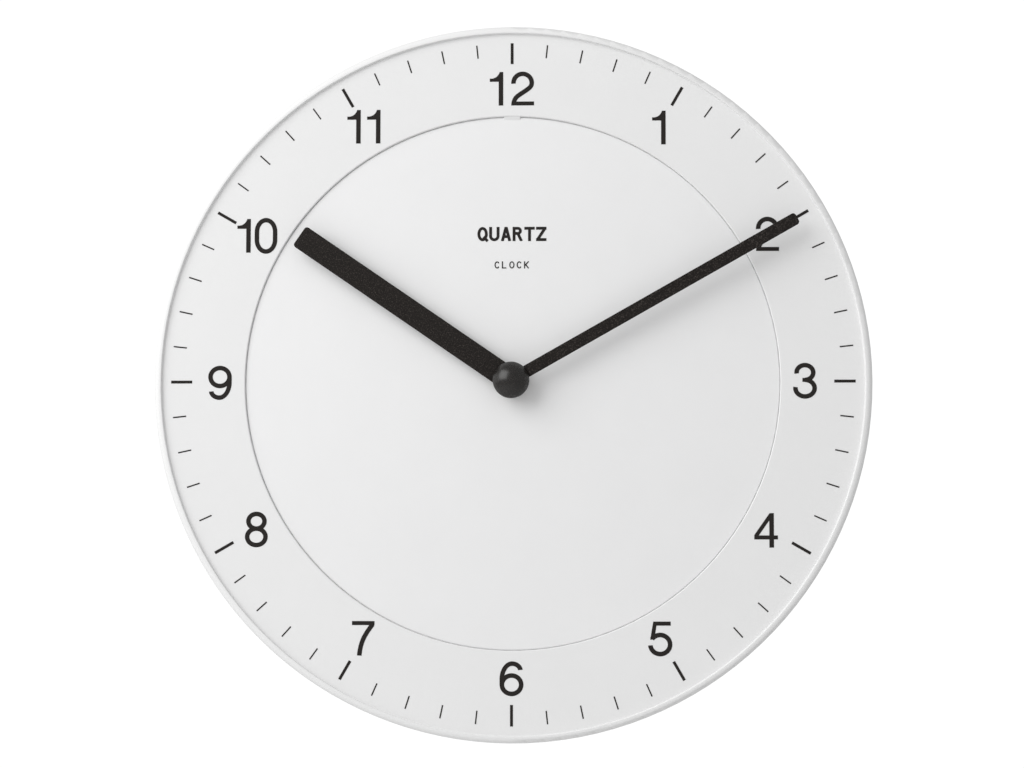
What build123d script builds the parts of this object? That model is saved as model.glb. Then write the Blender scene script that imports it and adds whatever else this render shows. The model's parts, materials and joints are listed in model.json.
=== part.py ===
"""Round wall clock with an open face: moulded case, domed dial disc, two hands and a quartz movement.

Everything is drawn in dial coordinates: x to the right and y up as seen from the front, and z for the
distance from the wall towards the viewer, with the hand axis at x = y = 0. save() turns each piece
into the part's own frame, where +Z is up and the dial faces -Y.
"""
from build123d import *
import os
from math import acos, atan2, ceil, cos, degrees, hypot, pi, radians, sin, sqrt, tan

# ---------------------------------------------------------------- driving dimensions (mm)
CASE_R = 100.0          # outer radius of the rim
RING_Z = 22.0           # front plane of the flat chapter ring, above the wall
RIM_RISE = 1.0          # how far the rim stands above the chapter ring
RIM_WIDTH = 2.0         # width of the raised rim
RING_INNER_R = 74.55    # step from the chapter ring down to the dial disc
SKIRT_BACK_R = 97.0     # outer radius of the case at the wall
WALL = 2.2              # moulded wall of the case

DISC_R = 74.5           # dial disc, a close fit inside the chapter ring
DISC_WALL = 2.0         # thickness of the dial disc
DISC_EDGE_DROP = 0.65   # edge of the disc below the chapter ring
DOME_RISE = 1.45        # crown of the dial disc from edge to centre
TAB_WIDTH = 4.5         # tab of the disc that fills the groove at 12 o'clock

INK = 0.06              # thickness of the printed marks
HOUR_MARK = (89.4, 95.3, 0.80)      # inner radius, outer radius, width
MINUTE_MARK = (91.5, 95.2, 0.37)
NUMERAL_R = 82.2        # circle through the centres of the numerals
NUMERAL_R_SIDE = 81.4   # the same for 3 and 9, which sit a little closer to the centre
DIGIT_H = 9.5           # height of a numeral
STEM = 1.26             # width of an upright stroke of a numeral
ARM = 1.1               # width of a level stroke of a numeral

HOUR_HAND = (71.7, 6.6, 25.2, 0.9)      # reach, width, depth of its back face, thickness
MINUTE_HAND = (90.9, 3.4, 27.4, 0.8)
HOUR_ANGLE = 304.45     # hands at about ten past ten, in degrees clockwise from 12
MINUTE_ANGLE = 60.4
CAP_R = 5.05
CAP_TOP_Z = 31.6

COVER_Z = (1.0, 3.0)    # back and front faces of the back cover
COVER_SCREW_R = 88.0
MOVEMENT = 56.0         # square side of the movement
MOVEMENT_Z = (2.4, 18.4)
SHELL = 1.3             # wall of the movement case
FRONT_WALL = 1.2
EAR_X, EAR_Y = 31.6, 20.0
EAR_Z = (11.4, 13.4)

CELL_R = 7.25           # AA cell
CELL_LENGTH = 49.5
NUB = (2.75, 1.0)       # radius and height of the cell's positive nub
CELL_Y, CELL_Z = -18.65, 9.8

# ---------------------------------------------------------------- gear train
PRESSURE = radians(27)
ADDENDUM, DEDENDUM, BACKLASH = 0.8, 1.05, 0.07
FINE, COARSE = 0.25, 0.32           # tooth modules of the drive train and of the motion work
FIT = 0.05              # radial running clearance
CANNON_TEETH, MOTION_TEETH, MOTION_PINION, HOUR_TEETH = 15, 45, 12, 48
CENTRE_TEETH, THIRD_PINION, THIRD_TEETH, SECONDS_PINION = 64, 8, 60, 8
SECONDS_TEETH, MIDDLE_PINION, MIDDLE_TEETH, ROTOR_PINION = 50, 10, 48, 8


def polar(radius, angle, origin=(0.0, 0.0)):
    """Point at a radius and an angle in degrees, counter-clockwise from +x."""
    return (origin[0] + radius * cos(radians(angle)), origin[1] + radius * sin(radians(angle)))


def spacing(teeth_a, teeth_b, module):
    """Distance between the axes of two meshed gears."""
    return module * (teeth_a + teeth_b) / 2


CENTRE_AT = (0.0, 0.0)
MOTION_AT = polar(spacing(CANNON_TEETH, MOTION_TEETH, COARSE), 125)
THIRD_AT = polar(spacing(THIRD_PINION, CENTRE_TEETH, FINE), 15)
SECONDS_AT = polar(spacing(SECONDS_PINION, THIRD_TEETH, FINE), 80, THIRD_AT)
MIDDLE_AT = polar(spacing(MIDDLE_PINION, SECONDS_TEETH, FINE), 150, SECONDS_AT)
ROTOR_AT = polar(spacing(ROTOR_PINION, MIDDLE_TEETH, FINE), 150, MIDDLE_AT)

# Depths (back, front) of the toothed layers, from the motor at the back to the hour wheel at the front.
LAYER_MIDDLE = (8.0, 8.8)
LAYER_SECONDS = (9.5, 10.3)
LAYER_THIRD = (11.0, 11.8)
LAYER_CENTRE = (12.5, 13.4)
LAYER_MOTION = (14.2, 15.2)
LAYER_HOUR = (15.9, 16.9)
BRIDGE_Z = (6.9, 7.7)
LID_Z = (2.4, 3.6)
STATOR_Z = (5.5, 6.3)
PIVOT_R = 0.4           # arbors of the drive train
POST_R = 1.3            # moulded posts that hold their front ends


def save(name, *solids):
    """Turn a piece into the part's frame and write it to its own file."""
    turned = [Rot(90, 0, 0) * solid for shape in solids for solid in shape.solids()]
    piece = turned[0] if len(turned) == 1 else Compound(children=turned)
    export_step(piece, "parts/" + name + ".step")


# ---------------------------------------------------------------- shape helpers
def disc(radius, back, front, at=(0.0, 0.0), bore=0.0):
    """A round plate or rod along z, with an optional hole."""
    section = Circle(radius)
    if bore:
        section -= Circle(bore)
    return Pos(at[0], at[1], back) * extrude(section, front - back)


def block(x_range, y_range, z_range):
    """A box given by its ranges in x, y and z."""
    centre = [(low + high) / 2 for low, high in (x_range, y_range, z_range)]
    size = [high - low for low, high in (x_range, y_range, z_range)]
    return Pos(*centre) * Box(*size)


def lathe(profile):
    """A ring or cup turned about z from a face of (radius, z) points."""
    return revolve(Plane.XZ * profile, Axis.Z)


def at_each(points, make):
    """One copy of a piece at each point."""
    return [Pos(x, y, 0) * make for x, y in points]


def gear(teeth, module, layer, at, phase=0.0):
    """A spur gear with involute flanks and one tooth centred on the angle phase, in radians."""
    pitch = module * teeth / 2
    base, tip, root = pitch * cos(PRESSURE), pitch + ADDENDUM * module, pitch - DEDENDUM * module
    half_tooth = (pi * module / 2 - BACKLASH) / 2 / pitch
    at_pitch = tan(PRESSURE) - PRESSURE

    def half_angle(radius):
        roll = acos(min(1.0, base / radius))
        return half_tooth + at_pitch - (tan(roll) - roll)

    radii = sorted({root, max(root, base), pitch, (pitch + tip) / 2, tip})
    points = []
    for tooth in range(teeth):
        middle = phase + 2 * pi * tooth / teeth
        rising = [(radius, middle - half_angle(radius)) for radius in radii]
        falling = [(radius, middle + half_angle(radius)) for radius in reversed(radii)]
        points += [(radius * cos(angle), radius * sin(angle)) for radius, angle in rising + falling]
    section = make_face(Polyline(*points, close=True))
    return Pos(at[0], at[1], layer[0]) * extrude(section, layer[1] - layer[0])


def meshed_phase(teeth, phase_of_other, other_teeth, other_at, at):
    """Phase that puts a gap of this gear on a tooth of the other one."""
    direction = atan2(at[1] - other_at[1], at[0] - other_at[0])
    return direction + pi + pi / teeth + (direction - phase_of_other) * other_teeth / teeth


# ---------------------------------------------------------------- strokes of the numerals and letters
def bar(start, end, width):
    """A straight stroke with square ends."""
    run, rise = end[0] - start[0], end[1] - start[1]
    middle = Pos((start[0] + end[0]) / 2, (start[1] + end[1]) / 2)
    return middle * Rot(0, 0, degrees(atan2(rise, run))) * Rectangle(hypot(run, rise), width)


def bend(centre, radii, start, end, width):
    """A stroke along an elliptical arc, from one angle to another, in degrees counter-clockwise."""
    outer = Ellipse(radii[0] + width / 2, radii[1] + width / 2)
    stroke = outer - Ellipse(radii[0] - width / 2, radii[1] - width / 2)
    if end - start < 360:
        steps = ceil((end - start) / 40)
        fan = [(0, 0)] + [polar(30, start + (end - start) * step / steps) for step in range(steps + 1)]
        stroke = stroke & make_face(Polyline(*fan, close=True))
    return Pos(*centre) * stroke


def curve(points, start_way, end_way, width):
    """A stroke of even width along a smooth curve."""
    return trace(Spline(*points, tangents=[start_way, end_way]), line_width=width)


def outline(*points):
    """A straight-sided face."""
    return make_face(Polyline(*points, close=True))


def digit_one():
    left = 2.5
    edge = Polyline((2.75, DIGIT_H), (left + STEM, DIGIT_H), (left + STEM, 0), (left, 0), (left, 6.75),
                    (0, 6.75), (0, 7.65))
    flag = ThreePointArc((0, 7.65), (1.9, 8.15), (2.75, DIGIT_H))
    return make_face(edge + flag), left + STEM


def digit_two():
    width = 6.4
    top = bend((3.2, 6.4), (2.56, 2.55), 0, 185, STEM)
    slope = curve([(5.76, 6.4), (4.9, 4.8), (2.4, 3.1), (0.7, 0.5)], (0, -1), (-0.1, -1), STEM)
    foot = outline((0, 0), (width, 0), (width, ARM), (0.1, ARM))
    return top + slope + foot, width


def digit_three():
    upper = bend((3.1, 7.15), (2.3, 2.05), -90, 187, STEM)
    lower = bend((3.1, 2.8), (2.65, 2.3), -187, 90, STEM)
    return upper + lower + bar((2.4, 5.1), (3.2, 5.1), ARM), 6.4


def digit_four():
    stem_left, arm_low = 4.15, 2.25
    stem_right, arm_high = stem_left + STEM, arm_low + ARM
    body = outline((0, arm_low), (stem_left, arm_low), (stem_left, 0), (stem_right, 0),
                   (stem_right, arm_low), (6.5, arm_low), (6.5, arm_high), (stem_right, arm_high),
                   (stem_right, DIGIT_H), (4.25, DIGIT_H), (0, arm_high + 0.1))
    return body - outline((1.25, arm_high), (stem_left, arm_high), (stem_left, 7.5)), 6.5


def digit_five():
    bowl = bend((3.15, 3.2), (2.72, 2.62), -175, 147, STEM)
    spine = outline((0.4, 4.5), (1.55, 4.62), (2.3, DIGIT_H), (1.25, DIGIT_H))
    top = outline((1.25, DIGIT_H - ARM), (6.05, DIGIT_H - ARM), (6.05, DIGIT_H), (1.25, DIGIT_H))
    return bowl + spine + top, 6.5


def digit_six():
    bowl = bend((3.3, 3.1), (2.66, 2.52), 0, 360, STEM)
    back = bend((3.45, 4.6), (2.83, 4.28), 90, 180, STEM)
    hook = bend((3.45, 6.95), (2.3, 1.93), 5, 90, STEM)
    return bowl + back + hook + bar((0.63, 4.62), (0.63, 3.1), STEM), 6.6


def digit_seven():
    width = 6.25
    top = outline((0, DIGIT_H - ARM), (width, DIGIT_H - ARM), (width, DIGIT_H), (0, DIGIT_H))
    slope = curve([(5.7, 8.6), (3.2, 4.7), (2.05, 0)], (-0.75, -1), (-0.08, -1), STEM)
    return top + slope, width


def digit_eight():
    upper = bend((3.2, 7.15), (2.24, 2.04), 0, 360, STEM)
    lower = bend((3.2, 2.83), (2.56, 2.28), 0, 360, STEM)
    return upper + lower, 6.4


def digit_nine():
    six, width = digit_six()
    return Pos(width, DIGIT_H) * Rot(0, 0, 180) * six, width


def digit_zero():
    top = bend((3.2, 5.85), (2.56, 3.3), 0, 180, STEM)
    bottom = bend((3.2, 3.6), (2.56, 3.3), -180, 0, STEM)
    sides = bar((0.64, 3.6), (0.64, 5.85), STEM) + bar((5.76, 3.6), (5.76, 5.85), STEM)
    return top + bottom + sides, 6.4


DIGITS = {"0": digit_zero, "1": digit_one, "2": digit_two, "3": digit_three, "4": digit_four,
          "5": digit_five, "6": digit_six, "7": digit_seven, "8": digit_eight, "9": digit_nine}
DIGIT_GAPS = {"10": 1.1, "11": 1.8, "12": 2.25}
NUMBER_SHIFTS = {"4": (-0.9, -0.2), "8": (0.15, -0.15), "9": (-0.2, -0.25), "10": (-0.25, 0.0),
                 "11": (-0.55, 0.65), "12": (-0.05, 0.2)}     # optical spacing of single numbers


def number(text):
    """The faces of one hour number, with the middle of its box at the origin."""
    faces, pen = [], 0.0
    for character in text:
        face, width = DIGITS[character]()
        faces.append(Pos(pen, 0) * face)
        pen += width + DIGIT_GAPS.get(text, 0)
    total = pen - DIGIT_GAPS.get(text, 0)
    return [Pos(-total / 2, -DIGIT_H / 2) * face for face in faces]


def letter(name, high, thick):
    """One plain capital letter of a given height and stroke, and its width."""
    half, wide = thick / 2, high * 0.72
    left, right, low, top, mid = half, wide - half, half, high - half, high / 2
    bowl = (wide / 2 - half, high / 2 - half)
    upright = bar((left, 0), (left, high), thick)
    if name in "OQ":
        face = bend((wide / 2, mid), bowl, 0, 360, thick)
        if name == "Q":
            face += bar((wide * 0.58, high * 0.3), (wide, 0), thick)
    elif name == "C":
        face = bend((wide / 2, mid), bowl, 45, 315, thick)
    elif name == "U":
        face = bend((wide / 2, bowl[0] + half), (bowl[0], bowl[0]), 180, 360, thick)
        face += bar((left, bowl[0] + half), (left, high), thick)
        face += bar((right, bowl[0] + half), (right, high), thick)
    elif name == "A":
        face = bar((left, 0), (wide / 2, high), thick) + bar((right, 0), (wide / 2, high), thick)
        face += bar((wide * 0.2, high * 0.32), (wide * 0.8, high * 0.32), thick)
        face = face & Pos(wide / 2, high / 2) * Rectangle(2 * wide, high)
    elif name == "R":
        loop = high * 0.28 - half
        face = upright + bend((wide * 0.5, top - loop), (loop, loop), -90, 90, thick)
        face += bar((0, top), (wide * 0.5, top), thick)
        face += bar((0, top - 2 * loop), (wide * 0.5, top - 2 * loop), thick)
        face += bar((wide * 0.5, top - 2 * loop), (right, 0), thick)
        face = face & Pos(wide / 2, high / 2) * Rectangle(2 * wide, high)
    elif name == "T":
        face = bar((0, top), (wide, top), thick) + bar((wide / 2, 0), (wide / 2, high), thick)
    elif name == "Z":
        face = bar((0, top), (wide, top), thick) + bar((0, low), (wide, low), thick)
        face += bar((left, low), (right, top), thick)
    elif name == "L":
        face = upright + bar((0, low), (wide * 0.85, low), thick)
    elif name == "K":
        face = upright + bar((left, high * 0.36), (right, high), thick)
        face += bar((wide * 0.36, high * 0.5), (right, 0), thick)
        face = face & Pos(wide / 2, high / 2) * Rectangle(2 * wide, high)
    return face, wide


def word(text, high, thick, gap):
    """The faces of a word, with the middle of its box at the origin."""
    faces, pen = [], 0.0
    for character in text:
        face, wide = letter(character, high, thick)
        faces.append(Pos(pen, 0) * face)
        pen += wide + gap
    return [Pos(-(pen - gap) / 2, -high / 2) * face for face in faces]


# ---------------------------------------------------------------- case and dial
RIM_Z = RING_Z + RIM_RISE
LEDGE_TOP = RING_Z - DISC_EDGE_DROP - DISC_WALL
LEDGE_BOTTOM = LEDGE_TOP - 1.8
LEDGE_R = 66.0
DISC_EDGE_Z = RING_Z - DISC_EDGE_DROP
APEX_Z = DISC_EDGE_Z + DOME_RISE
DOME_R = (DISC_R ** 2 + DOME_RISE ** 2) / (2 * DOME_RISE)
COVER_SCREWS_AT = [polar(COVER_SCREW_R, angle) for angle in (45, 135, 225, 315)]
STAKES_AT = [polar(70.5, angle) for angle in (30, 90, 150, 210, 270, 330)]
EARS_AT = [(side * EAR_X, height) for side in (-1, 1) for height in (-EAR_Y, EAR_Y)]
PILOT_R = 1.25
HUB_HOLE_R = 4.3
COVE = 0.15             # hollow radius between the chapter ring and the rim
CROWN = 1.6             # rounding of the outer edge of the rim
BOSS_R = 3.2
CORNER = 1.4             # extra thickness of the case where the skirt meets the ring


def dome_z(radius, offset=0.0):
    """Depth of the dial disc's front surface at a radius, moved back by offset."""
    return APEX_Z - DOME_R + sqrt(DOME_R ** 2 - radius ** 2) - offset


def dome_arc(inner, outer, offset=0.0):
    """Meridian of the dome between two radii."""
    middle = (inner + outer) / 2
    return ThreePointArc((inner, dome_z(inner, offset)), (middle, dome_z(middle, offset)),
                         (outer, dome_z(outer, offset)))


def groove_tab():
    """Tab across the groove at 12 o'clock, rising from the dome's edge almost to the chapter ring."""
    start = DISC_R - 0.9
    profile = Polyline((start, LEDGE_TOP), (start, dome_z(start)), (RING_INNER_R, RING_Z - 0.1),
                       (RING_INNER_R, LEDGE_TOP), close=True)
    tab = Pos(-TAB_WIDTH / 2, 0, 0) * extrude(Plane.YZ * make_face(profile), TAB_WIDTH)
    return tab & disc(RING_INNER_R - 0.015, LEDGE_TOP - 1, RING_Z + 1)


def front_case():
    """Rim, chapter ring, step, ledge for the dial disc and tapered skirt, with four screw bosses."""
    inside_r = CASE_R - RIM_WIDTH
    step_bevel, lip_bevel = 0.25, 0.15      # small bevels that ease the visible edges
    profile = Polyline(
        (inside_r - COVE, RING_Z), (RING_INNER_R + step_bevel, RING_Z), (RING_INNER_R, RING_Z - step_bevel),
        (RING_INNER_R, LEDGE_TOP), (LEDGE_R, LEDGE_TOP), (LEDGE_R, LEDGE_BOTTOM),
        (RING_INNER_R + WALL, LEDGE_BOTTOM), (RING_INNER_R + WALL, RING_Z - WALL),
        (CASE_R - CORNER - WALL, RING_Z - WALL), (SKIRT_BACK_R - WALL, 0), (SKIRT_BACK_R - 0.4, 0),
        (SKIRT_BACK_R, 0.4), (CASE_R, RIM_Z - CROWN))
    crown = TangentArc((CASE_R, RIM_Z - CROWN), (CASE_R - CROWN, RIM_Z), tangent=(0, 1))
    lip = Polyline((CASE_R - CROWN, RIM_Z), (inside_r + lip_bevel, RIM_Z), (inside_r, RIM_Z - lip_bevel),
                   (inside_r, RING_Z + COVE))
    cove = RadiusArc((inside_r, RING_Z + COVE), (inside_r - COVE, RING_Z), COVE)
    body = lathe(make_face(profile + crown + lip + cove))
    for boss in at_each(COVER_SCREWS_AT, disc(BOSS_R, COVER_Z[1], RING_Z - 1)):
        body += boss
    for hole in at_each(COVER_SCREWS_AT, disc(PILOT_R + FIT, 0, 12)):
        body -= hole
    for hole in at_each(STAKES_AT, disc(1.25, LEDGE_BOTTOM - 1, LEDGE_TOP + 1)):
        body -= hole
    return body


def dial_disc():
    """Domed disc with a flat bearing edge, a tab, heat-staked studs and posts for the movement."""
    lip = 0.3
    edge = dome_z(DISC_R - lip)
    front = dome_arc(HUB_HOLE_R, DISC_R - lip)
    rest = Polyline((DISC_R - lip, edge), (DISC_R, edge - lip), (DISC_R, LEDGE_TOP),
                    (LEDGE_R, LEDGE_TOP), (LEDGE_R - 0.5, dome_z(LEDGE_R - 0.5, DISC_WALL)))
    back = dome_arc(LEDGE_R - 0.5, HUB_HOLE_R, DISC_WALL)
    hub = Line((HUB_HOLE_R, dome_z(HUB_HOLE_R, DISC_WALL)), (HUB_HOLE_R, dome_z(HUB_HOLE_R)))
    body = lathe(make_face(front + rest + back + hub))
    collar = disc(8.0, MOVEMENT_Z[1] + FIT, APEX_Z - 1, bore=HUB_HOLE_R)
    body += collar
    body += groove_tab()
    for stud in at_each(STAKES_AT, disc(1.2, LEDGE_BOTTOM - 0.4, LEDGE_TOP + 0.5)):
        body += stud
    for head in at_each(STAKES_AT, disc(2.0, LEDGE_BOTTOM - 0.7, LEDGE_BOTTOM - FIT)):
        body += head
    for post in at_each(EARS_AT, disc(3.0, EAR_Z[1], APEX_Z - 1.4)):
        body += post
    for hole in at_each(EARS_AT, disc(PILOT_R, EAR_Z[1] - 1, EAR_Z[1] + 5)):
        body -= hole
    return body


def radial_mark(inner, outer, width, angle):
    """One printed line pointing at the centre."""
    section = Pos(0, (inner + outer) / 2) * Rectangle(width, outer - inner)
    return Pos(0, 0, RING_Z) * extrude(Rot(0, 0, -angle) * section, INK)


def hour_marks():
    return [radial_mark(*HOUR_MARK, 30 * hour) for hour in range(12)]


def minute_marks():
    return [radial_mark(*MINUTE_MARK, 6 * minute) for minute in range(60) if minute % 5]


def numerals():
    """The twelve hour numbers, all upright."""
    solids = []
    for hour in range(1, 13):
        radius = NUMERAL_R_SIDE if hour in (3, 9) else NUMERAL_R
        x, y = polar(radius, 90 - 30 * hour)
        right, up = NUMBER_SHIFTS.get(str(hour), (0.0, 0.0))
        place = Pos(x + right, y + up, RING_Z)
        solids += [place * extrude(face, INK) for face in number(str(hour))]
    return solids


def on_dome(faces, height):
    """Print faces on the dome, centred on the upright line at a height above the hand axis."""
    lift = INK
    inner, outer = height - 8, height + 8
    top = dome_arc(inner, outer, -lift)
    right = Line((outer, dome_z(outer, -lift)), (outer, dome_z(outer)))
    bottom = dome_arc(outer, inner)
    left = Line((inner, dome_z(inner)), (inner, dome_z(inner, -lift)))
    skin = lathe(make_face(top + right + bottom + left))
    return [skin & (Pos(0, height, APEX_Z - 3) * extrude(face, 6)) for face in faces]


# ---------------------------------------------------------------- hands
def hand(reach, width, back, thick, angle, bore, hub_r):
    """A parallel-sided hand with softened tip corners and edges, and a hidden round hub."""
    length = reach
    blade = Pos(0, length / 2) * Rectangle(width, length)
    blade = fillet(blade.vertices().group_by(Axis.Y)[-1], min(0.9, width * 0.27))
    plate = extrude(blade + Circle(hub_r), thick)
    plate = fillet(plate.faces().sort_by(Axis.Z)[-1].edges(), 0.2)
    plate -= disc(bore, -1, thick + 1)
    return Pos(0, 0, back) * Rot(0, 0, -angle) * plate


HOUR_PIPE_R = (1.70, 2.55)
MINUTE_ARBOR_R = HOUR_PIPE_R[0] - FIT


def hand_cap():
    """Domed cap that hides the hand hubs and fits over the end of the minute arbor."""
    base, shoulder = MINUTE_HAND[2] + MINUTE_HAND[3], 0.5
    socket_top = base + 1.3
    side = Polyline((0, CAP_TOP_Z), (0, socket_top), (MINUTE_ARBOR_R + 0.02, socket_top),
                    (MINUTE_ARBOR_R + 0.02, base), (CAP_R, base), (CAP_R, base + shoulder))
    crown = TangentArc((0, CAP_TOP_Z), (CAP_R, base + shoulder), tangent=(1, 0))
    return lathe(make_face(side + crown))


# ---------------------------------------------------------------- back cover and hanging
HANG_HOLE = (4.5, 78.0)         # radius of the keyhole's round end, and its height
HANG_SLOT = (2.2, 86.0)         # half width of the slot, and the height of its upper end
RIVETS_AT = [(-12.0, 80.0), (12.0, 80.0)]


def keyhole(hole_r, slot_half):
    """Face of a keyhole: a round end below and a narrow slot above it."""
    rise = HANG_SLOT[1] - HANG_HOLE[1]
    slot = Pos(0, HANG_HOLE[1] + rise / 2) * Rectangle(2 * slot_half, rise)
    return Pos(0, HANG_HOLE[1]) * Circle(hole_r) + slot + Pos(0, HANG_SLOT[1]) * Circle(slot_half)


def back_cover():
    """Round back with a window for the movement and a recess for the hanging plate."""
    back, front = COVER_Z
    window = MOVEMENT / 2 + 1.0
    body = disc(SKIRT_BACK_R - WALL - 0.5, back, front)
    frame = RectangleRounded(2 * window + 3.2, 2 * window + 3.2, 3.6)
    body += Pos(0, 0, front) * extrude(frame, 3)
    body -= Pos(0, 0, back - 1) * extrude(RectangleRounded(2 * window, 2 * window, 2), 8)
    body -= Pos(0, 0, back - 1) * extrude(keyhole(HANG_HOLE[0] + 2, HANG_SLOT[0] + 2), 8)
    for x, y in COVER_SCREWS_AT:
        body -= disc(1.7, back - 1, front + 1, (x, y))
        body -= disc(3.4, back - 1, back + 0.9, (x, y))
    for x, y in RIVETS_AT:
        body -= disc(1.5 + FIT, back - 1, front + 1, (x, y))
    return body


def hanger_plate():
    """Pressed steel plate with the keyhole that takes the wall screw."""
    plate = Pos(0, 81) * RectangleRounded(32, 22, 3) - keyhole(HANG_HOLE[0], HANG_SLOT[0])
    for x, y in RIVETS_AT:
        plate -= Pos(x, y) * Circle(1.5 + FIT)
    return Pos(0, 0, COVER_Z[1]) * extrude(plate, 1.2)


def rivet():
    """Tubular rivet with a flat head on each side."""
    back, front = COVER_Z[0], COVER_Z[1] + 1.2
    return disc(1.5, back - 0.5, front + 0.5) + disc(2.6, back - 0.5, back) + disc(2.6, front, front + 0.5)


def screw(head_r, head_high, shank_r, seat_z, tip_z):
    """Pan-head screw pointing at the viewer, with a cross recess, its head seated at seat_z."""
    head_back = seat_z - head_high
    body = disc(head_r, head_back, seat_z) + disc(shank_r, seat_z, tip_z)
    body = chamfer(body.faces().sort_by(Axis.Z)[0].edges(), head_high * 0.3)
    for angle in (45, 135):
        slot = Box(head_r * 1.2, head_r * 0.24, head_high)
        body -= Pos(0, 0, head_back) * Rot(0, 0, angle) * slot
    return body


# ---------------------------------------------------------------- movement: case, lid and bridge
HALF = MOVEMENT / 2
INNER = HALF - SHELL
PARTITION_Y = (-10.6, -9.4)
FRONT_Z = MOVEMENT_Z[1] - FRONT_WALL
LID_SCREWS_AT = [(-24.2, 24.2), (24.2, 24.2), (24.2, -5.6)]
BRIDGE_SCREWS_AT = [(-10.6, -3.5), (22.5, 4.0), (15.0, 18.5)]
COIL_Y, COIL_Z, COIL_X = 24.2, 6.7, (-13.5, 8.5)
STATOR_SCREWS_AT = [(COIL_X[0] - 2.0, COIL_Y), (COIL_X[1] + 2.0, COIL_Y)]
BOARD = ((-26.4, -13.6), (-9.2, 13.0), (5.0, 5.8))
BOARD_PINS_AT = [(-24.4, -7.4), (-24.4, 11.0)]
SMALL_SCREW_R = 0.8
KNOB_R = 5.0
WELL_R = KNOB_R + 0.7
WELL_FLOOR = (4.6, 5.3)
TRAIN_POSTS = [(THIRD_AT, 0.85, 14.0), (SECONDS_AT, POST_R, 12.4), (MIDDLE_AT, POST_R, 11.0),
               (ROTOR_AT, POST_R, 9.4)]


def movement_case():
    """Moulded shell with the centre tube, battery bay, fixing ears and the front bearings."""
    back, front = MOVEMENT_Z
    body = block((-HALF, HALF), (-HALF, HALF), MOVEMENT_Z)
    body = fillet(body.edges().filter_by(Axis.Z), 1.2)
    body -= block((-INNER, INNER), (-INNER, INNER), (back - 1, FRONT_Z))
    body += block((-INNER + 1.8, INNER - 1.8), PARTITION_Y, (back, FRONT_Z + 0.2))
    body += disc(4.0, FRONT_Z, APEX_Z + 0.6)
    for side in (-1, 1):
        for height in (-EAR_Y, EAR_Y):
            ear = block((-4, 4), (-4, 4), EAR_Z)
            body += Pos(side * (EAR_X - 0.2), height, 0) * ear
    for x, y in EARS_AT:
        body -= disc(1.5, EAR_Z[0] - 1, EAR_Z[1] + 1, (x, y))
    for x, y in LID_SCREWS_AT:
        body += disc(1.9, LID_Z[1], FRONT_Z + 0.2, (x, y))
    for x, y in BRIDGE_SCREWS_AT:
        body += disc(1.5, BRIDGE_Z[1], FRONT_Z + 0.2, (x, y))
    for x, y in STATOR_SCREWS_AT:
        body += disc(1.4, COIL_Z + 0.4, FRONT_Z + 0.2, (x, y))
    for x, y in BOARD_PINS_AT:
        body += disc(1.2, BOARD[2][1], FRONT_Z + 0.2, (x, y))
        body += disc(0.6, BOARD[2][0] - 0.3, FRONT_Z, (x, y))
    for at, radius, start in TRAIN_POSTS:
        body += disc(radius, start, FRONT_Z + 0.2, at)
        body -= disc(PIVOT_R + FIT, start - 1, start + 1, at)
    for x, y in LID_SCREWS_AT + BRIDGE_SCREWS_AT + STATOR_SCREWS_AT:
        body -= disc(SMALL_SCREW_R + FIT, LID_Z[0], 13.0, (x, y))
    body -= disc(HOUR_PIPE_R[1] + FIT, FRONT_Z - 1, front + 10)
    body -= disc(0.6 + FIT, FRONT_Z - 1, FRONT_Z + 0.8, MOTION_AT)
    return body


def movement_lid():
    """Back of the gear chamber, with the well that the setting knob sits in."""
    body = block((-INNER + FIT, INNER - FIT), (PARTITION_Y[1] + FIT, INNER - FIT), LID_Z)
    body += disc(WELL_R + 0.8, LID_Z[0], WELL_FLOOR[1], MOTION_AT)
    body += disc(1.4, LID_Z[0], 4.6, ROTOR_AT)
    body -= disc(WELL_R, LID_Z[0] - 1, WELL_FLOOR[0], MOTION_AT)
    body -= disc(1.0 + FIT, LID_Z[0] - 1, WELL_FLOOR[1] + 1, MOTION_AT)
    body -= disc(PIVOT_R + FIT, LID_Z[1], 5.0, ROTOR_AT)
    for x, y in LID_SCREWS_AT:
        body -= disc(SMALL_SCREW_R + 0.1, LID_Z[0] - 1, LID_Z[1] + 1, (x, y))
    return body


def train_bridge():
    """Plate that carries the back pivots of the wheels."""
    x_range, y_range = (-13.0, 25.4), (-8.4, 20.6)
    body = block(x_range, y_range, BRIDGE_Z)
    body = fillet(body.edges().filter_by(Axis.Z), 2)
    for at in (THIRD_AT, SECONDS_AT, MIDDLE_AT):
        body -= disc(PIVOT_R + FIT, BRIDGE_Z[0] - 1, BRIDGE_Z[1] + 1, at)
    body -= disc(0.75 + FIT, BRIDGE_Z[0] - 1, BRIDGE_Z[1] + 1, CENTRE_AT)
    body -= disc(1.3, BRIDGE_Z[0] - 1, BRIDGE_Z[1] + 1, MOTION_AT)
    body -= disc(1.6, BRIDGE_Z[0] - 1, BRIDGE_Z[1] + 1, ROTOR_AT)
    for x, y in BRIDGE_SCREWS_AT:
        body -= disc(SMALL_SCREW_R + 0.1, BRIDGE_Z[0] - 1, BRIDGE_Z[1] + 1, (x, y))
    body -= disc(2.3, BRIDGE_Z[0] - 1, BRIDGE_Z[1] + 1, LID_SCREWS_AT[2])
    return body


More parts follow.
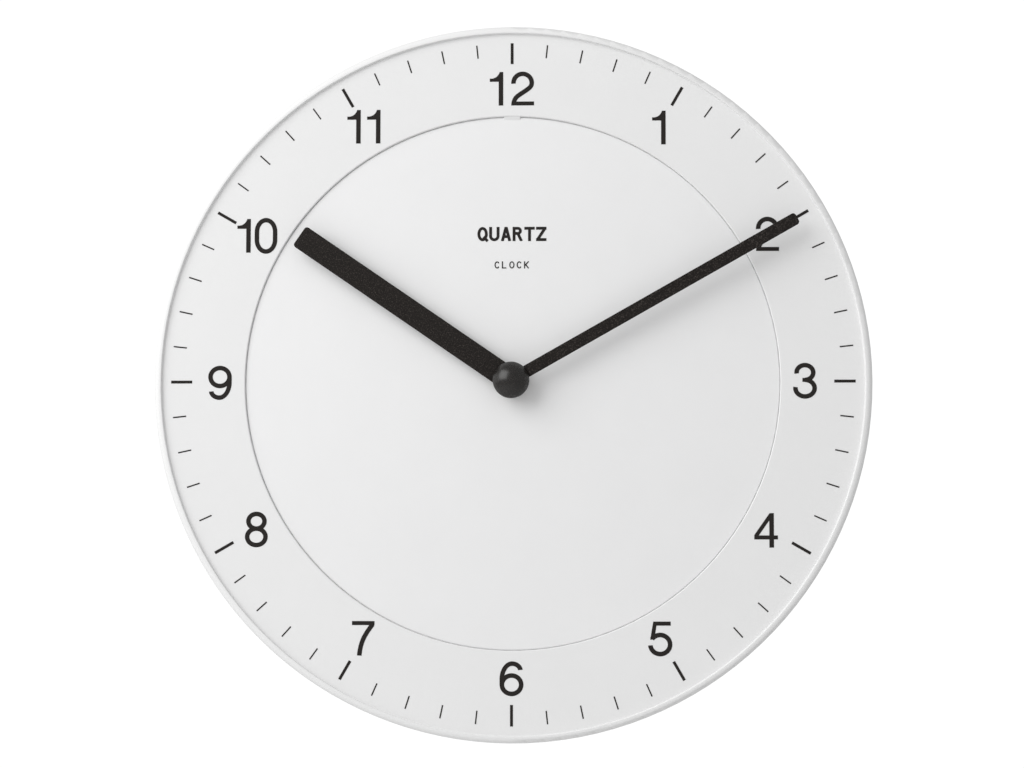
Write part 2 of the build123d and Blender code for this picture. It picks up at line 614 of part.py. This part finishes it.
# ---------------------------------------------------------------- movement: wheels
def mesh_phases():
    """Phases that bring every gear pair into mesh, by gear name."""
    motion = meshed_phase(MOTION_TEETH, 0, CANNON_TEETH, CENTRE_AT, MOTION_AT)
    hour = meshed_phase(HOUR_TEETH, 0, MOTION_PINION, MOTION_AT, CENTRE_AT)
    third_pinion = meshed_phase(THIRD_PINION, 0, CENTRE_TEETH, CENTRE_AT, THIRD_AT)
    seconds_pinion = meshed_phase(SECONDS_PINION, 0, THIRD_TEETH, THIRD_AT, SECONDS_AT)
    middle_pinion = meshed_phase(MIDDLE_PINION, 0, SECONDS_TEETH, SECONDS_AT, MIDDLE_AT)
    rotor = meshed_phase(ROTOR_PINION, 0, MIDDLE_TEETH, MIDDLE_AT, ROTOR_AT)
    return {"motion": motion, "hour": hour, "third_pinion": third_pinion, "rotor": rotor,
            "seconds_pinion": seconds_pinion, "middle_pinion": middle_pinion}


PHASE = mesh_phases()


def wheel_and_pinion(wheel, pinion, arbor):
    """A wheel and its pinion on one arbor: each gear is (teeth, module, layer, at, phase)."""
    at = wheel[3]
    body = gear(*wheel) + gear(*pinion)
    join = sorted([*wheel[2], *pinion[2]])
    body += disc(PIVOT_R + 0.3, join[0], join[3], at)
    return body + disc(PIVOT_R, arbor[0], arbor[1], at)


def cannon_pinion():
    """Minute arbor: pinion of the motion work, front tube for the hand and long back pivot."""
    body = gear(CANNON_TEETH, COARSE, (LAYER_MOTION[0] - 0.2, LAYER_MOTION[1] + 0.2), CENTRE_AT)
    body += disc(0.75, BRIDGE_Z[0], LAYER_MOTION[0], CENTRE_AT)
    return body + disc(MINUTE_ARBOR_R, LAYER_MOTION[1], MINUTE_HAND[2] + MINUTE_HAND[3] + 1.2)


def clutch_spring():
    """Three-armed spring washer that lets the hands slip on the centre wheel while they are set."""
    back, front = LAYER_CENTRE[1] + 0.02, LAYER_CENTRE[1] + 0.22
    star = disc(1.6, back, front, bore=0.75 + FIT)
    for angle in (0, 120, 240):
        star += Rot(0, 0, angle) * block((1.2, 4.2), (-0.5, 0.5), (back, front))
    return star


def centre_wheel():
    body = gear(CENTRE_TEETH, FINE, LAYER_CENTRE, CENTRE_AT)
    body += disc(2.0, LAYER_CENTRE[0] - 0.5, LAYER_CENTRE[1])
    return body - disc(0.75 + FIT, 0, 20)


def hour_wheel():
    """Hour wheel with the pipe that the hour hand is pressed on."""
    top = HOUR_HAND[2] + HOUR_HAND[3] + 0.2
    body = gear(HOUR_TEETH, COARSE, LAYER_HOUR, CENTRE_AT, PHASE["hour"])
    body += disc(HOUR_PIPE_R[1], LAYER_HOUR[0], top)
    return body - disc(HOUR_PIPE_R[0], 0, top + 1)


def motion_wheel():
    """Reduction wheel between the minute arbor and the hour wheel, on the setting arbor."""
    body = gear(MOTION_TEETH, COARSE, LAYER_MOTION, MOTION_AT, PHASE["motion"])
    body += gear(MOTION_PINION, COARSE, (LAYER_MOTION[1], FRONT_Z - 0.1), MOTION_AT)
    body += disc(1.0, 3.6, FRONT_Z - 0.1, MOTION_AT)
    return body + disc(0.6, FRONT_Z - 0.1, FRONT_Z + 0.6, MOTION_AT)


def setting_knob():
    """Knurled thumb wheel at the back that turns the hands."""
    back, front, ridges = 2.6, 4.4, 24
    body = disc(KNOB_R - 0.3, back, front, MOTION_AT)
    for ridge in range(ridges):
        body += disc(0.45, back, front, polar(KNOB_R - 0.45, 360 * ridge / ridges, MOTION_AT))
    return body - disc(1.0 + 0.02, 3.6, front + 1, MOTION_AT)


def third_wheel():
    return wheel_and_pinion(
        (THIRD_TEETH, FINE, LAYER_THIRD, THIRD_AT),
        (THIRD_PINION, FINE, (LAYER_CENTRE[0] - 0.2, LAYER_CENTRE[1] + 0.2), THIRD_AT,
         PHASE["third_pinion"]),
        (BRIDGE_Z[0], 14.8))


def seconds_wheel():
    return wheel_and_pinion(
        (SECONDS_TEETH, FINE, LAYER_SECONDS, SECONDS_AT),
        (SECONDS_PINION, FINE, (LAYER_THIRD[0] - 0.2, LAYER_THIRD[1] + 0.2), SECONDS_AT,
         PHASE["seconds_pinion"]),
        (BRIDGE_Z[0], 13.2))


def intermediate_wheel():
    return wheel_and_pinion(
        (MIDDLE_TEETH, FINE, LAYER_MIDDLE, MIDDLE_AT),
        (MIDDLE_PINION, FINE, (LAYER_SECONDS[0] - 0.2, LAYER_SECONDS[1] + 0.2), MIDDLE_AT,
         PHASE["middle_pinion"]),
        (BRIDGE_Z[0], 11.8))


MAGNET_R = 2.4
MAGNET_Z = (4.9, 6.8)


def rotor_pinion():
    layer = (LAYER_MIDDLE[0] - 0.1, LAYER_MIDDLE[1] + 0.1)
    body = gear(ROTOR_PINION, FINE, layer, ROTOR_AT, PHASE["rotor"])
    return body + disc(PIVOT_R, 3.8, 10.2, ROTOR_AT)


# ---------------------------------------------------------------- movement: motor and electrics
CORE_HALF, CORE_THICK = 0.7, 0.8        # half width and thickness of the coil's core


def stator():
    """Soft-iron plate with the rotor hole, necked on both sides of it."""
    x, y = ROTOR_AT
    ends = [STATOR_SCREWS_AT[0][0], STATOR_SCREWS_AT[1][0]]
    plate = block((ends[0] - 1.6, ends[1] + 1.6), (y - 2.2, y + 2.2), STATOR_Z)
    plate += disc(3.9, *STATOR_Z, ROTOR_AT)
    for end in ends:
        plate += block((end - 1.6, end + 1.6), (y, COIL_Y + 1.6), STATOR_Z)
    plate -= disc(MAGNET_R + 0.4, STATOR_Z[0] - 1, STATOR_Z[1] + 1, ROTOR_AT)
    for point in STATOR_SCREWS_AT:
        plate -= disc(SMALL_SCREW_R + 0.1, STATOR_Z[0] - 1, STATOR_Z[1] + 1, point)
    return plate


def coil_core():
    """Iron strip through the coil, screwed to both ends of the stator."""
    ends = [STATOR_SCREWS_AT[0][0], STATOR_SCREWS_AT[1][0]]
    z_range = (STATOR_Z[1], STATOR_Z[1] + CORE_THICK)
    core = block((ends[0], ends[1]), (COIL_Y - CORE_HALF, COIL_Y + CORE_HALF), z_range)
    for x, y in STATOR_SCREWS_AT:
        core += disc(1.6, *z_range, (x, y))
    for x, y in STATOR_SCREWS_AT:
        core -= disc(SMALL_SCREW_R + 0.1, z_range[0] - 1, z_range[1] + 1, (x, y))
    return core


def along_x(radius, x_range, y, z, bore=0.0):
    """A round rod or tube along x."""
    section = Circle(radius)
    if bore:
        section -= Circle(bore)
    return Pos(x_range[0], y, z) * Rot(0, 90, 0) * extrude(section, x_range[1] - x_range[0])


def coil_bobbin():
    low, high = COIL_X
    flange = 0.6
    body = along_x(1.35, (low, high), COIL_Y, COIL_Z)
    body += along_x(2.2, (low, low + flange), COIL_Y, COIL_Z)
    body += along_x(2.2, (high - flange, high), COIL_Y, COIL_Z)
    slot_z = (STATOR_Z[1] - FIT, STATOR_Z[1] + CORE_THICK + FIT)
    return body - block((low - 1, high + 1), (COIL_Y - CORE_HALF - FIT, COIL_Y + CORE_HALF + FIT), slot_z)


def coil_winding():
    return along_x(2.1, (COIL_X[0] + 0.65, COIL_X[1] - 0.65), COIL_Y, COIL_Z, bore=1.38)


def circuit_board():
    board = block(*BOARD)
    for x, y in BOARD_PINS_AT:
        board -= disc(0.6 + FIT, BOARD[2][0] - 1, BOARD[2][1] + 1, (x, y))
    return board


def control_chip():
    """Resin drop over the bonded chip."""
    drop = Pos(-20, 3, BOARD[2][1]) * (Sphere(2.6) & Pos(0, 0, 1.3) * Box(6, 6, 2.6))
    return drop & block((-30, 0), (-10, 20), (0, BOARD[2][1] + 1.2))


def crystal():
    """Tuning-fork crystal in a small round can lying on the board."""
    can_z = BOARD[2][1] + 1.02
    can = Pos(0, 0, can_z) * Rot(-90, 0, 0) * Cylinder(1.0, 6.0)
    return Pos(-16.4, 6.5, 0) * can


CONTACT = 0.4
CONTACT_X = INNER - 0.1


def contact_positive():
    """Sprung brass strip at the nub end of the cell, with its lead along the partition."""
    x_high = CONTACT_X
    plate = block((x_high - CONTACT, x_high), (-26.0, -8.2), (4.0, 16.4))
    lead = block((BOARD[0][1] - 3.0, x_high), (-8.6, -8.2), (5.85, 6.6))
    return plate + lead


def contact_negative():
    """Brass strip with a pressed bulge that bears on the flat end of the cell."""
    x_low = -CONTACT_X
    plate = block((x_low, x_low + CONTACT), (-26.0, -8.4), (5.85, 16.4))
    bulge = Pos(x_low + CONTACT, CELL_Y, CELL_Z) * Rot(0, 90, 0) * Cone(3.0, 1.2, 0.9)
    return plate + Pos(0.44, 0, 0) * bulge


CELL_LEFT = -CONTACT_X + CONTACT + 0.95


def battery_can():
    """AA cell with its positive nub."""
    end = CELL_LEFT + CELL_LENGTH
    can = along_x(CELL_R - 0.15, (CELL_LEFT, end), CELL_Y, CELL_Z)
    return can + along_x(NUB[0], (end - 0.1, end + NUB[1]), CELL_Y, CELL_Z)


def battery_sleeve():
    """Printed film around the cell."""
    return along_x(CELL_R, (CELL_LEFT + 0.3, CELL_LEFT + CELL_LENGTH - 0.3), CELL_Y, CELL_Z,
                   bore=CELL_R - 0.14)


# ---------------------------------------------------------------- write every piece
os.makedirs("parts", exist_ok=True)

save("front_case", front_case())
save("dial_disc", dial_disc())
save("hour_marks", *hour_marks())
save("minute_marks", *minute_marks())
save("numerals", *numerals())
save("dial_word", *on_dome(word("QUARTZ", 4.0, 0.8, 0.4), 41.3))
save("dial_word_small", *on_dome(word("CLOCK", 2.0, 0.3, 0.62), 32.6))

save("back_cover", back_cover())
save("hanger_plate", hanger_plate())
save("hanger_rivets", *at_each(RIVETS_AT, rivet()))
save("cover_screws", *at_each(COVER_SCREWS_AT, screw(3.0, 1.6, PILOT_R, COVER_Z[0] + 0.9, 10.5)))
save("movement_screws", *at_each(EARS_AT, screw(2.6, 1.4, PILOT_R - FIT, EAR_Z[0], 17.4)))

save("movement_case", movement_case())
save("movement_lid", movement_lid())
save("lid_screws", *at_each(LID_SCREWS_AT, screw(1.6, 0.6, SMALL_SCREW_R, LID_Z[0], 10)))
save("train_bridge", train_bridge())
save("bridge_screws", *at_each(BRIDGE_SCREWS_AT, screw(1.5, 0.8, SMALL_SCREW_R, BRIDGE_Z[0], 12)))

save("cannon_pinion", cannon_pinion())
save("clutch_spring", clutch_spring())
save("minute_hand", hand(*MINUTE_HAND, MINUTE_ANGLE, MINUTE_ARBOR_R + 0.02, 3.6))
save("hand_cap", hand_cap())
save("hour_wheel", hour_wheel())
save("hour_hand", hand(*HOUR_HAND, HOUR_ANGLE, HOUR_PIPE_R[1] + 0.02, 4.5))
save("motion_wheel", motion_wheel())
save("setting_knob", setting_knob())

save("centre_wheel", centre_wheel())
save("third_wheel", third_wheel())
save("seconds_wheel", seconds_wheel())
save("intermediate_wheel", intermediate_wheel())
save("rotor_pinion", rotor_pinion())
save("rotor_magnet", disc(MAGNET_R, *MAGNET_Z, ROTOR_AT, bore=PIVOT_R + 0.01))

save("stator", stator())
save("coil_core", coil_core())
save("coil_bobbin", coil_bobbin())
save("coil_winding", coil_winding())
save("stator_screws", *at_each(STATOR_SCREWS_AT, screw(1.5, 0.8, SMALL_SCREW_R, STATOR_Z[0], 11)))
save("circuit_board", circuit_board())
save("control_chip", control_chip())
save("crystal", crystal())
save("contact_positive", contact_positive())
save("contact_negative", contact_negative())
save("battery_can", battery_can())
save("battery_sleeve", battery_sleeve())
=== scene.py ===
import json
import math

import bpy
from mathutils import Matrix, Vector

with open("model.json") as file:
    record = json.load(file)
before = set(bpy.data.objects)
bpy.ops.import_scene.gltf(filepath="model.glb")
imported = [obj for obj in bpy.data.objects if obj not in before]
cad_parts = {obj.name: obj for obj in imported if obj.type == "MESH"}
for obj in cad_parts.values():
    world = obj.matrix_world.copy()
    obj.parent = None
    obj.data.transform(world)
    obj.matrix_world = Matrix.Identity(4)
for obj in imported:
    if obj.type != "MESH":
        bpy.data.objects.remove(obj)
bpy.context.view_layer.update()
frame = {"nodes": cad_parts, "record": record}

MM = 0.001
NODES = frame["nodes"]
SLOT_OF = {s["node"]: s["material_slot"] for s in frame["record"]["subparts"]}

# The range that most of a noise lies in, and a narrower one that gives firmer patches.
NOISE_SPAN = (0.3, 0.7)
NARROW_SPAN = (0.35, 0.65)
# How many times larger a surface's slow mottling is than its grain.
MOTTLE_SCALE = 40
# Where the noise begins to show as a fleck, before the fleck's spread, and where it shows in full.
FLECK_START = 0.62
FLECK_FULL = 0.72

# The camera's place in metres, its lens in millimetres, and its pitch, yaw and roll in degrees.
CAMERA_PLACE = Vector((0.02378, -0.70928, -0.04952))
CAMERA_LENS = 87.1
CAMERA_TURNS = (-4.065, -1.972, 0.085)

# Strength of the light from all round, and of the backdrop that only the camera sees.
AMBIENT = 0.585
BACKDROP = 1.05
# Light panels: angles in degrees, distance and size in metres, power in watts.
KEY = {"clock_angle": 305, "slant": 52, "distance": 1.0, "size": 0.8, "power": 6.7}
SIDE = {"clock_angle": 280, "slant": 80, "distance": 0.9, "size": 0.5, "power": 0.5}
BACK = {"clock_angle": 145, "slant": 122, "distance": 1.2, "size": 0.9, "power": 9.0}

# The floor, in metres.
FLOOR_HALF = 1.5
FLOOR_LEVEL = -0.45
FLOOR_COLOUR = (0.85, 0.85, 0.85)


# ---------------------------------------------------------------- node helpers


def new_material(name):
    """A material with only its output and one Principled shader."""
    material = bpy.data.materials.new(name)
    material.use_nodes = True
    tree = material.node_tree
    tree.nodes.clear()
    output = tree.nodes.new("ShaderNodeOutputMaterial")
    shader = tree.nodes.new("ShaderNodeBsdfPrincipled")
    tree.links.new(shader.outputs["BSDF"], output.inputs["Surface"])
    return material, tree, shader


def object_coords(tree, stretch=(1, 1, 1)):
    """The piece's own coordinates in millimetres, stretched for a brushed or drawn grain."""
    coords = tree.nodes.new("ShaderNodeTexCoord")
    mapping = tree.nodes.new("ShaderNodeMapping")
    mapping.inputs["Scale"].default_value = [s / MM for s in stretch]
    tree.links.new(coords.outputs["Object"], mapping.inputs["Vector"])
    return mapping.outputs["Vector"]


def noise(tree, vector, size_mm, detail=2.0, roughness=0.5):
    """Noise whose lumps are size_mm across."""
    node = tree.nodes.new("ShaderNodeTexNoise")
    node.inputs["Scale"].default_value = 1 / size_mm
    node.inputs["Detail"].default_value = detail
    node.inputs["Roughness"].default_value = roughness
    tree.links.new(vector, node.inputs["Vector"])
    return node.outputs["Fac"]


def remap(tree, value, span, out_span):
    """value taken from span to out_span, each (low, high), and clamped."""
    node = tree.nodes.new("ShaderNodeMapRange")
    node.inputs["From Min"].default_value = span[0]
    node.inputs["From Max"].default_value = span[1]
    node.inputs["To Min"].default_value = out_span[0]
    node.inputs["To Max"].default_value = out_span[1]
    tree.links.new(value, node.inputs["Value"])
    return node.outputs["Result"]


def blend_colours(tree, factor, first, second):
    """first where factor is 0, second where it is 1."""
    ramp = tree.nodes.new("ShaderNodeValToRGB")
    ramp.color_ramp.elements[0].color = (*first, 1)
    ramp.color_ramp.elements[1].color = (*second, 1)
    tree.links.new(factor, ramp.inputs["Fac"])
    return ramp.outputs["Color"]


def bump(tree, shader, height, depth_mm):
    """Makes the surface look raised by depth_mm where height is 1."""
    node = tree.nodes.new("ShaderNodeBump")
    node.inputs["Strength"].default_value = 1.0
    node.inputs["Distance"].default_value = depth_mm * MM
    tree.links.new(height, node.inputs["Height"])
    tree.links.new(node.outputs["Normal"], shader.inputs["Normal"])


def darker(colour, share):
    """colour with that share of its light taken away."""
    return tuple(c * (1 - share) for c in colour)


# ---------------------------------------------------------------- materials


def grained(name, colour, gloss, grain_mm, depth_mm, mottle=0.03, metal=0.0, specular=0.5):
    """Moulded or lacquered surface: a fine even grain, slow mottling and an uneven gloss.

    gloss is (lowest, highest) roughness."""
    material, tree, shader = new_material(name)
    shader.inputs["Metallic"].default_value = metal
    shader.inputs["Specular IOR Level"].default_value = specular
    place = object_coords(tree)
    fine = noise(tree, place, grain_mm, detail=3.0, roughness=0.6)
    broad = noise(tree, place, grain_mm * MOTTLE_SCALE, detail=3.0)
    tone = remap(tree, broad, NOISE_SPAN, (0.0, 1.0))
    colours = blend_colours(tree, tone, darker(colour, mottle), colour)
    tree.links.new(colours, shader.inputs["Base Color"])
    uneven = remap(tree, fine, NOISE_SPAN, gloss)
    tree.links.new(uneven, shader.inputs["Roughness"])
    bump(tree, shader, fine, depth_mm)
    return material


def speckled(name, dark, light, gloss, grain_mm, depth_mm, spread, specular):
    """Dark coat or ink: small lighter flecks over a dark ground.

    A larger spread lets the flecks cover more of it."""
    material, tree, shader = new_material(name)
    shader.inputs["Specular IOR Level"].default_value = specular
    place = object_coords(tree)
    grain = noise(tree, place, grain_mm, detail=2.0, roughness=0.7)
    flecks = remap(tree, grain, (FLECK_START - spread, FLECK_FULL), (0.0, 1.0))
    colours = blend_colours(tree, flecks, dark, light)
    tree.links.new(colours, shader.inputs["Base Color"])
    uneven = remap(tree, grain, NOISE_SPAN, gloss)
    tree.links.new(uneven, shader.inputs["Roughness"])
    bump(tree, shader, grain, depth_mm)
    return material


def brushed(name, colour, gloss, stretch, depth_mm=0.006, mottle=0.12):
    """Bare or plated metal with a drawn grain along one axis."""
    material, tree, shader = new_material(name)
    shader.inputs["Metallic"].default_value = 1.0
    lines = noise(tree, object_coords(tree, stretch), 0.25, detail=4.0, roughness=0.6)
    clouds = noise(tree, object_coords(tree), 6.0, detail=4.0, roughness=0.6)
    tone = remap(tree, clouds, NARROW_SPAN, (0.0, 1.0))
    colours = blend_colours(tree, tone, darker(colour, mottle), colour)
    tree.links.new(colours, shader.inputs["Base Color"])
    uneven = remap(tree, lines, NOISE_SPAN, gloss)
    tree.links.new(uneven, shader.inputs["Roughness"])
    bump(tree, shader, lines, depth_mm)
    return material


def wound(name, colour, wave_mm):
    """Fine enamelled wire in close turns along X. A few turns lie in each wave_mm."""
    material, tree, shader = new_material(name)
    shader.inputs["Metallic"].default_value = 0.85
    shader.inputs["Coat Weight"].default_value = 0.6
    shader.inputs["Coat Roughness"].default_value = 0.12
    turns = tree.nodes.new("ShaderNodeTexWave")
    turns.wave_type = "BANDS"
    turns.bands_direction = "X"
    turns.inputs["Scale"].default_value = 1 / wave_mm
    turns.inputs["Distortion"].default_value = 0.4
    turns.inputs["Detail"].default_value = 2.0
    tree.links.new(object_coords(tree), turns.inputs["Vector"])
    # The colour darkens by 0.45 in the dip of each band, between the turns: painted shade in the grooves
    # between the wire's turns.
    colours = blend_colours(tree, turns.outputs["Fac"], darker(colour, 0.45), colour)
    tree.links.new(colours, shader.inputs["Base Color"])
    uneven = remap(tree, turns.outputs["Fac"], (0.0, 1.0), (0.45, 0.25))
    tree.links.new(uneven, shader.inputs["Roughness"])
    bump(tree, shader, turns.outputs["Fac"], wave_mm / 3)
    return material


def make_materials():
    """One material for each material slot of the record."""
    white_gloss = (0.42, 0.52)
    moulded_gloss = (0.4, 0.6)
    gear_gloss = (0.3, 0.45)
    bobbin_gloss = (0.35, 0.5)
    looks = {
        "case_white": (grained, {
            "colour": (0.81, 0.81, 0.81), "gloss": white_gloss,
            "grain_mm": 0.35, "depth_mm": 0.003, "mottle": 0.012}),
        "dial_white": (grained, {
            "colour": (0.83, 0.83, 0.832), "gloss": white_gloss,
            "grain_mm": 0.30, "depth_mm": 0.002, "mottle": 0.012}),
        "ink_black": (speckled, {
            "dark": (0.016, 0.0135, 0.012), "light": (0.034, 0.030, 0.028), "gloss": (0.6, 0.8),
            "grain_mm": 0.12, "depth_mm": 0.002, "spread": 0.15, "specular": 0.15}),
        "hand_black": (speckled, {
            "dark": (0.0060, 0.0040, 0.0030), "light": (0.064, 0.055, 0.049), "gloss": (0.5, 0.75),
            "grain_mm": 0.33, "depth_mm": 0.010, "spread": 0.10, "specular": 0.2}),
        "cap_black": (speckled, {
            "dark": (0.0050, 0.0036, 0.0028), "light": (0.030, 0.025, 0.021), "gloss": (0.22, 0.34),
            "grain_mm": 0.30, "depth_mm": 0.006, "spread": 0.10, "specular": 0.5}),
        "cover_white": (grained, {
            "colour": (0.76, 0.757, 0.745), "gloss": (0.5, 0.62), "grain_mm": 0.5, "depth_mm": 0.02}),
        "steel_zinc": (brushed, {
            "colour": (0.60, 0.61, 0.63), "gloss": (0.22, 0.42), "stretch": (1, 1, 0.06)}),
        "movement_black": (grained, {
            "colour": (0.028, 0.028, 0.030), "gloss": moulded_gloss,
            "grain_mm": 0.3, "depth_mm": 0.015, "mottle": 0.2}),
        "lid_grey": (grained, {
            "colour": (0.10, 0.10, 0.105), "gloss": moulded_gloss,
            "grain_mm": 0.3, "depth_mm": 0.015, "mottle": 0.15}),
        "bridge_white": (grained, {
            "colour": (0.72, 0.70, 0.66), "gloss": bobbin_gloss, "grain_mm": 0.3, "depth_mm": 0.006}),
        "gear_white": (grained, {
            "colour": (0.76, 0.74, 0.69), "gloss": gear_gloss, "grain_mm": 0.2, "depth_mm": 0.003}),
        "gear_amber": (grained, {
            "colour": (0.60, 0.33, 0.10), "gloss": gear_gloss,
            "grain_mm": 0.2, "depth_mm": 0.003, "mottle": 0.08}),
        "spring_bronze": (brushed, {
            "colour": (0.72, 0.50, 0.26), "gloss": (0.2, 0.4), "stretch": (0.06, 1, 1)}),
        "soft_iron": (brushed, {
            "colour": (0.40, 0.40, 0.41), "gloss": (0.3, 0.5), "stretch": (0.06, 1, 1)}),
        "magnet": (grained, {
            "colour": (0.085, 0.085, 0.09), "gloss": (0.45, 0.65),
            "grain_mm": 0.15, "depth_mm": 0.01, "mottle": 0.2, "metal": 0.6}),
        "copper_wire": (wound, {"colour": (0.72, 0.30, 0.13), "wave_mm": 0.12}),
        "bobbin_white": (grained, {
            "colour": (0.72, 0.71, 0.67), "gloss": bobbin_gloss, "grain_mm": 0.25, "depth_mm": 0.005}),
        "board_green": (grained, {
            "colour": (0.03, 0.17, 0.07), "gloss": (0.2, 0.35),
            "grain_mm": 0.6, "depth_mm": 0.01, "mottle": 0.25}),
        "resin_black": (grained, {
            "colour": (0.012, 0.012, 0.012), "gloss": (0.06, 0.16),
            "grain_mm": 2.0, "depth_mm": 0.02, "mottle": 0.1}),
        "crystal_can": (brushed, {
            "colour": (0.72, 0.72, 0.73), "gloss": (0.1, 0.25), "stretch": (1, 1, 0.1)}),
        "contact_brass": (brushed, {
            "colour": (0.76, 0.70, 0.55), "gloss": (0.2, 0.38), "stretch": (1, 1, 0.06)}),
        "cell_can": (brushed, {
            "colour": (0.64, 0.64, 0.65), "gloss": (0.18, 0.34), "stretch": (0.06, 1, 1)}),
        "cell_film": (grained, {
            "colour": (0.05, 0.10, 0.17), "gloss": (0.12, 0.24),
            "grain_mm": 1.5, "depth_mm": 0.004, "mottle": 0.08}),
        "knob_black": (grained, {
            "colour": (0.03, 0.03, 0.032), "gloss": (0.4, 0.55),
            "grain_mm": 0.25, "depth_mm": 0.012, "mottle": 0.2}),
    }
    return {name: make(name, **values) for name, (make, values) in looks.items()}


def dress_nodes(materials):
    """Gives every CAD node the material of its slot."""
    for name, node in NODES.items():
        for slot in node.material_slots:
            slot.material = materials[SLOT_OF[name]]


# ---------------------------------------------------------------- camera, light, stage


def make_camera():
    """A camera a little below and right of the dial's centre, which looks back up at it."""
    data = bpy.data.cameras.new("camera")
    data.lens = CAMERA_LENS
    data.sensor_width = 36.0
    data.clip_start = 0.01
    data.clip_end = 100.0
    camera = bpy.data.objects.new("camera", data)
    pitch, yaw, roll = (math.radians(a) for a in CAMERA_TURNS)
    turn = Matrix.Rotation(roll, 3, "Z") @ Matrix.Rotation(yaw, 3, "Y") @ Matrix.Rotation(pitch, 3, "X")
    upright = Matrix.Rotation(math.radians(90), 3, "X")
    camera.matrix_world = Matrix.Translation(CAMERA_PLACE) @ (upright @ turn.transposed()).to_4x4()
    bpy.context.scene.collection.objects.link(camera)
    bpy.context.scene.camera = camera


def area_light(name, clock_angle, slant, distance, size, power):
    """A soft square panel that faces the dial's centre.

    clock_angle is clockwise from 12 as seen from the front; slant is the angle from the dial's normal."""
    data = bpy.data.lights.new(name, "AREA")
    data.shape = "SQUARE"
    data.size = size
    data.energy = power
    light = bpy.data.objects.new(name, data)
    around = math.radians(clock_angle)
    off = math.radians(slant)
    towards = Vector((math.sin(off) * math.sin(around), -math.cos(off), math.sin(off) * math.cos(around)))
    light.location = towards * distance
    light.rotation_mode = "QUATERNION"
    light.rotation_quaternion = (-towards).to_track_quat("-Z", "Y")
    light.visible_camera = False
    bpy.context.scene.collection.objects.link(light)


def make_world():
    """Even white light from all round. The camera alone sees a brighter white backdrop in its place."""
    world = bpy.data.worlds.new("studio")
    world.use_nodes = True
    tree = world.node_tree
    lit = tree.nodes["Background"]
    lit.inputs["Color"].default_value = (1.0, 1.0, 1.0, 1.0)
    lit.inputs["Strength"].default_value = AMBIENT
    backdrop = tree.nodes.new("ShaderNodeBackground")
    backdrop.inputs["Color"].default_value = (1.0, 1.0, 1.0, 1.0)
    backdrop.inputs["Strength"].default_value = BACKDROP
    path = tree.nodes.new("ShaderNodeLightPath")
    mix = tree.nodes.new("ShaderNodeMixShader")
    tree.links.new(path.outputs["Is Camera Ray"], mix.inputs["Fac"])
    tree.links.new(lit.outputs["Background"], mix.inputs[1])
    tree.links.new(backdrop.outputs["Background"], mix.inputs[2])
    tree.links.new(mix.outputs["Shader"], tree.nodes["World Output"].inputs["Surface"])
    bpy.context.scene.world = world


def stage_plane(name, corners, colour):
    """A flat sheet between four corners, with a plain rough material of the given colour."""
    mesh = bpy.data.meshes.new(name)
    mesh.from_pydata(corners, [], [(0, 1, 2, 3)])
    plane = bpy.data.objects.new(name, mesh)
    material, _, shader = new_material(name)
    shader.inputs["Base Color"].default_value = (*colour, 1)
    shader.inputs["Roughness"].default_value = 0.8
    mesh.materials.append(material)
    bpy.context.scene.collection.objects.link(plane)


def make_studio():
    """A pale floor well below the clock, a key panel at the upper left, a weak panel at the left,
    and a panel behind that lights the back."""
    sides = [(-1, -1), (1, -1), (1, 1), (-1, 1)]
    stage_plane("floor", [(FLOOR_HALF * x, FLOOR_HALF * y, FLOOR_LEVEL) for x, y in sides], FLOOR_COLOUR)
    area_light("key", **KEY)
    area_light("side", **SIDE)
    area_light("back", **BACK)
    make_world()
    bpy.context.scene.view_settings.view_transform = "Standard"


# ---------------------------------------------------------------- making

dress_nodes(make_materials())
make_camera()
make_studio()
